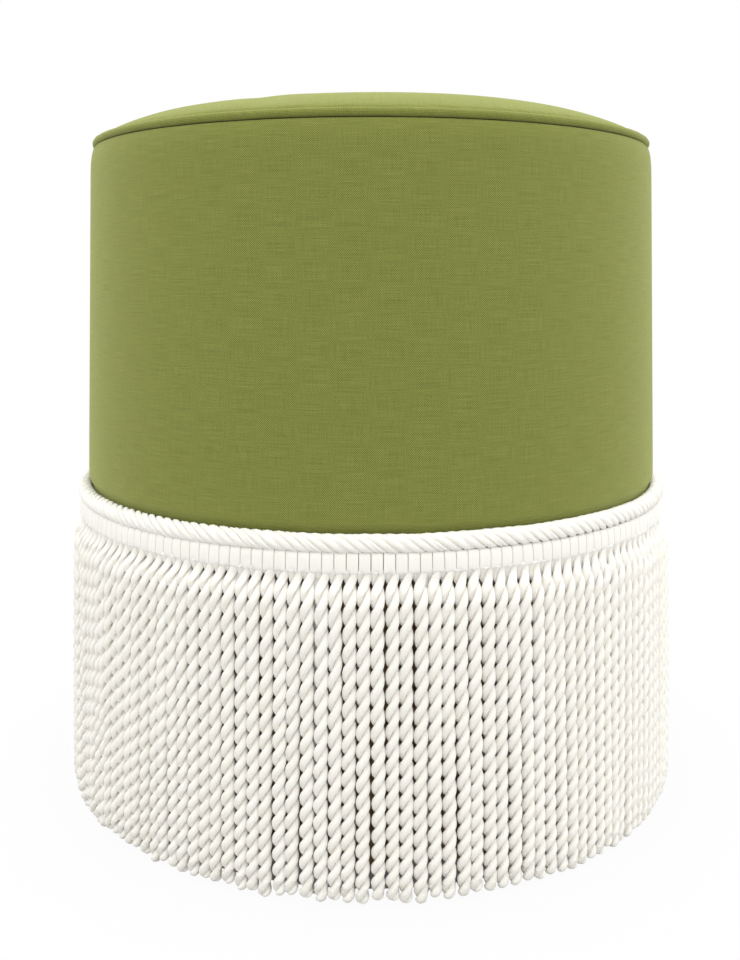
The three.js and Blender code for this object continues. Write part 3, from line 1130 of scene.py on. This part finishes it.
def hang(start, place):
    """One rope of a section, from the heading down to the hem."""
    behind = place in back_places
    passed = sum(other < place for other in back_places)
    front_count = ropes_per_section - len(back_places)
    back_angle = start + section_angle * (place + 0.5) / ropes_per_section
    front_angle = start + section_angle * (place - passed + 0.5) / front_count
    root, out = (back_root, back_radius) if behind else (front_root, front_radius)
    made = copy_of(rope, "rope_copy")
    places = places_of(made)
    down = np.clip(1 - places[:, 2] / rope_length, 0, 1)
    drop = down * rope_length * rng.uniform(*length_range)
    waist = (root_rise + first_waist) / rope_length
    level_phase = (waist - 1) * rope_turn - lag(waist)
    phase = level_phase + lag(down) + rng.gauss(0, top_turn_spread)
    phase += down * rng.gauss(0, hem_turn_spread)
    thick = (back_share if behind else 1) * rng.uniform(*thickness_range)
    depth = thick * (root_depth_share + (1 - root_depth_share) * eased(drop / root_depth_run))
    width = thick * (root_width_share + (1 - root_width_share) * eased(drop / root_width_run))
    x = (places[:, 0] * np.cos(phase) - places[:, 1] * np.sin(phase)) * depth
    y = (places[:, 0] * np.sin(phase) + places[:, 1] * np.cos(phase)) * width
    bow = rng.uniform(*bow_range) * np.sin(math.pi * down)
    pinch = pinch_in * np.sin(math.pi * np.clip(drop / pinch_drop, 0, 1)) ** 2
    radius = root + (out - root) * eased((drop - swell_start) / swell_run) - pinch + bow + x
    hang_angle = back_angle if behind else front_angle
    drift = round_noise(hang_angle, drift_frequency, level=3.1) * drift_at_hem
    lean = (drift + rng.gauss(0, lean_at_hem)) / front_radius
    angle = hang_angle + lean * down ** 1.5
    angle += rng.gauss(0, sway) / front_radius * np.sin(TURN * down)
    set_round(made, radius, y, angle, heading_bottom + root_rise - drop)
    mark(made, "tone", np.full(len(places), rng.uniform(0, 1)))
    return made


def heading_ribs(start):
    made = []
    for place in range(ropes_per_section):
        angle = start + section_angle * (place + 0.5) / ropes_per_section
        piece = copy_of(rib, "rib_copy")
        out, across, height = places_of(piece).T
        set_round(piece, (rib_inner + rib_outer) / 2 + out, across, angle, height)
        mark(piece, "tone", np.full(len(out), rng.uniform(0, 0.6)))
        made.append(piece)
    return made


def fringe_length(number):
    start = (number - 1) * section_angle
    parts = heading_ribs(start) + [hang(start, place) for place in range(ropes_per_section)]
    bpy.ops.object.select_all(action="DESELECT")
    for part in parts:
        part.select_set(True)
    bpy.context.view_layer.objects.active = parts[0]
    bpy.ops.object.join()
    piece = bpy.context.object
    piece.name = f"fringe_length_{number:02d}"
    piece.data.name = piece.name
    finish_piece(piece, rope_cotton, "cotton_cord", f"fringe_{number:02d}")
    return piece


fringe = [fringe_length(number + 1) for number in range(section_count)]
bpy.data.objects.remove(rope)
bpy.data.objects.remove(rib)

# %% [markdown]
# ## Padding and lining
#
# Under the linen lie a foam block, a sheet of fibre over it and another round the drum. Plain blocks
# would be hidden too, but it is the padding that gives linen its shape, so each pad has the same
# curve as the cloth, from further in. The drum's foot has a plain brown lining behind the ropes, and
# black cloth closes the base.

# %% Foam and wadding
fibre_thickness = 8 * MM
pad_bevel = 1.5 * MM
lining_steps = 10


def dome(name, radius, drop, foot, material, slot, node):
    """A domed pad: its top follows the crown, drop below it, and foot gives its underside."""
    piece = dome_disc(name, radius)
    set_heights(piece, lambda out: crown_height(out) - drop)
    edit_all(piece)
    bpy.ops.mesh.normals_make_consistent(inside=False)
    bpy.ops.mesh.extrude_region_move(TRANSFORM_OT_translate={"value": (0, 0, -fibre_thickness)})
    bpy.ops.object.mode_set(mode="OBJECT")
    if foot is not None:
        places = places_of(piece)
        selected = np.array([vertex.select for vertex in piece.data.vertices])
        places[selected, 2] = foot
        set_places(piece, places)
    bpy.ops.object.mode_set(mode="EDIT")
    close_up()
    with_modifier(piece, "BEVEL", width=pad_bevel, segments=2, limit_method="ANGLE")
    finish_piece(piece, material, slot, node)


dome(
    "foam_block", reach_of("seat_foam"), seat_top - top_of("seat_foam"), frame_top,
    foam_surface, "foam", "seat_foam")
dome(
    "seat_fibre", reach_of("seat_wadding"), seat_top - top_of("seat_wadding"), None,
    wadding_surface, "wadding", "seat_wadding")


def side_fibre():
    inset = cloth_thickness + seam_gap
    top, foot = top_of("side_wadding"), bottom_of("side_wadding")
    cloth = side_outline()[:-2]
    radii, heights = zip(*reversed(cloth))
    outer = [(np.interp(top, heights, radii) - inset, top)]
    outer += [(radius - inset, height) for radius, height in cloth if foot < height < top]
    outer += [(heading_seat - inset, foot)]
    piece = turned("side_fibre", outer + [(drum_radius, foot), (drum_radius, top), outer[0]])
    finish_piece(piece, wadding_surface, "wadding", "side_wadding")


side_fibre()


# %% Lining and dust cloth
def drum_lining():
    outer = reach_of("lower_lining")
    top = top_of("lower_lining")
    outline = [
        (outer, base_bottom + (top - base_bottom) * step / lining_steps)
        for step in range(lining_steps + 1)]
    piece = turned("drum_lining", outline)
    thicken(piece, outer - drum_radius)
    finish_piece(piece, lining_cloth, "lining", "lower_lining")
    return piece


def underside_cloth():
    low, high = bottom_of("dust_cloth"), top_of("dust_cloth")
    piece = dome_disc("underside_cloth", reach_of("dust_cloth"))
    set_heights(piece, lambda out: high)
    thicken(piece, high - low)
    finish_piece(piece, base_cloth, "dust_cloth", "dust_cloth")
    return piece


lining = drum_lining()
underside = underside_cloth()

# %% [markdown]
# ## Soft pieces, as they were cut
#
# The cut sizes of the side strip and of the seat round are worked out here. A sewn piece was cut
# larger by its seam allowance, which is folded inside and isn't modelled.

seam_allowance = 12 * MM
side_strip = (TURN * rim_radius + 2 * seam_allowance, side_top - side_foot + 2 * seam_allowance)
seat_round = 2 * (seat_radius + (crown_edge - seat_foot) + seam_allowance)
math.pi * seat_round ** 2 / 4
print("side cut to", [round(size, 3) for size in side_strip], "m, seat", round(seat_round, 3), "m across")

# %% [markdown]
# ## Studio
#
# The stool stands on a pale floor against white, in soft light from all round. Two large lamps a
# little behind it brighten the edges of the drum, the right one more than the left, and one
# overhead lights the seat. The floor throws back less than half of the light, so undersides stay
# darker than the walls of the drum. Only rays from the camera, from gloss and from glass meet plain
# white there, so the white background puts no more light on the stool.

# %% Floor, backdrop and lamps
floor_radius = 6
floor_points = 64
# The share of plain white on the floor: little under the drum, most of it just outside, then all.
fade_start = 0.182
fade_end = 0.3
least_fade = 0.96
under_share = 0.06
lamp_aim = Vector((0, 0, 0.24))


def shows_background(tree):
    """A socket that is 1 for rays from the camera, gloss or glass, and 0 for all other light."""
    path = tree.nodes.new("ShaderNodeLightPath")
    seen = path.outputs["Is Camera Ray"]
    for kind in ("Is Glossy Ray", "Is Transmission Ray"):
        either = tree.nodes.new("ShaderNodeMath")
        either.operation = "MAXIMUM"
        tree.links.new(seen, either.inputs[0])
        tree.links.new(path.outputs[kind], either.inputs[1])
        seen = either.outputs[0]
    return seen


def studio_floor():
    floor = start_circle("floor", floor_radius, 0, floor_points, fill="NGON")
    close_up()
    finish = Finish("floor", 0.9)
    tree = finish.tree
    place = finish.solid_place()
    mottle = finish.noise(place, (0.4, 0.4, 0.4))
    finish.paint(finish.mix(mottle * 0.3, colour(184, 183, 180), colour(176, 175, 172)))
    reach = finish.node("VectorMath", {"operation": "LENGTH"}, {0: place}, output="Value")
    away = finish.node("MapRange", {"interpolation_type": "SMOOTHSTEP"}, {
        "Value": reach, "From Min": fade_start, "From Max": fade_end,
        "To Min": least_fade, "To Max": 1})
    outside = finish.math("GREATER_THAN", reach, fade_start)
    seen = Wire(finish, shows_background(tree))
    shown = seen * away * (under_share + outside * (1 - under_share))
    painted = Wire(finish, finish.surface.outputs[0])
    white = finish.node("Emission", values={"Color": (1, 1, 1, 1), "Strength": 1})
    shader = finish.node("MixShader", values={0: shown, 1: painted, 2: white})
    tree.links.new(shader.socket, tree.nodes["Material Output"].inputs["Surface"])
    floor.data.materials.append(finish.material)


def studio_world(ambient):
    world = bpy.data.worlds.new("studio")
    bpy.context.scene.world = world
    world.use_nodes = True
    tree = world.node_tree
    background = tree.nodes["Background"]
    background.inputs["Color"].default_value = (1, 1, 1, 1)
    strength = tree.nodes.new("ShaderNodeMapRange")
    strength.inputs["To Min"].default_value = ambient
    strength.inputs["To Max"].default_value = 1
    tree.links.new(shows_background(tree), strength.inputs["Value"])
    tree.links.new(strength.outputs[0], background.inputs["Strength"])


def lamp(name, place, size, power):
    """A soft lamp that faces the middle of the stool."""
    data = bpy.data.lights.new(name, "AREA")
    data.shape = "RECTANGLE"
    data.size, data.size_y = size
    data.energy = power
    made = bpy.data.objects.new(name, data)
    made.location = place
    direction = lamp_aim - made.location
    made.rotation_euler = direction.to_track_quat("-Z", "Y").to_euler()
    bpy.context.scene.collection.objects.link(made)
    print(name, "of", power, "W")


studio_floor()
studio_world(ambient=1.23)
lamp("lamp_left", place=(-1.5, 0.3, 0.6), size=(1, 1.2), power=1)
lamp("lamp_right", place=(1.5, 0.15, 0.6), size=(1, 1.2), power=3)
lamp("lamp_above", place=(0, -0.5, 1.8), size=(1.4, 1.4), power=10)
